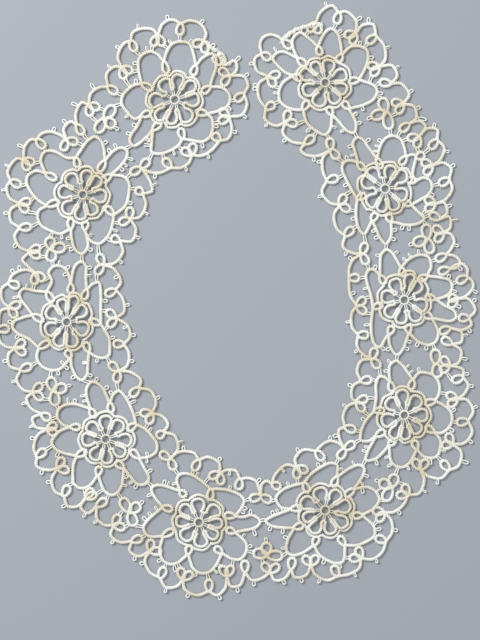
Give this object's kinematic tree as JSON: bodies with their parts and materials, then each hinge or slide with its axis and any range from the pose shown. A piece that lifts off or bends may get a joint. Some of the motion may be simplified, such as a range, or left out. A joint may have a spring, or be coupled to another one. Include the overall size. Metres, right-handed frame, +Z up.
{
  "type": "lace collar",
  "caption": "Tatted lace collar laid flat: flower medallions in rounds of arches, small trefoils between them, and a scalloped picot edging.",
  "frame": {"origin": "under the middle of the collar's outline, on the surface that it lies on", "axes": "+Z up off the surface, +Y from the back of the neck's curve towards the open ends, +X to the right as laid out"},
  "size_m": [0.2404, 0.2967, 0.0023],
  "materials": {
    "petal_thread": "matt, aged ivory cotton thread",
    "arch_thread": "matt ivory cotton thread",
    "edging_thread": "matt ivory cotton thread"
  },
  "bodies": {
    "root": {"flower_l1": "petal_thread", "flower_l2": "petal_thread", "flower_l3": "petal_thread", "flower_l4": "petal_thread", "flower_l5": "petal_thread", "flower_r5": "petal_thread", "flower_r4": "petal_thread", "flower_r3": "petal_thread", "flower_r2": "petal_thread", "flower_r1": "petal_thread", "arches_l1": "arch_thread", "arches_l2": "arch_thread", "arches_l3": "arch_thread", "arches_l4": "arch_thread", "arches_l5": "arch_thread", "arches_r5": "arch_thread", "arches_r4": "arch_thread", "arches_r3": "arch_thread", "arches_r2": "arch_thread", "arches_r1": "arch_thread", "trefoil_l1_l2": "arch_thread", "trefoil_l2_l3": "arch_thread", "trefoil_l3_l4": "arch_thread", "trefoil_l4_l5": "arch_thread", "trefoil_l5_r5": "arch_thread", "trefoil_r5_r4": "arch_thread", "trefoil_r4_r3": "arch_thread", "trefoil_r3_r2": "arch_thread", "trefoil_r2_r1": "arch_thread", "outer_edge_l1": "edging_thread", "outer_edge_l2": "edging_thread", "outer_edge_l3": "edging_thread", "outer_edge_l4": "edging_thread", "outer_edge_l5": "edging_thread", "outer_edge_r5": "edging_thread", "outer_edge_r4": "edging_thread", "outer_edge_r3": "edging_thread", "outer_edge_r2": "edging_thread", "outer_edge_r1": "edging_thread", "neck_edge_l1": "edging_thread", "neck_edge_l2": "edging_thread", "neck_edge_l3": "edging_thread", "neck_edge_l4": "edging_thread", "neck_edge_l5": "edging_thread", "neck_edge_r5": "edging_thread", "neck_edge_r4": "edging_thread", "neck_edge_r3": "edging_thread", "neck_edge_r2": "edging_thread", "neck_edge_r1": "edging_thread"}
  },
  "joints": []
}
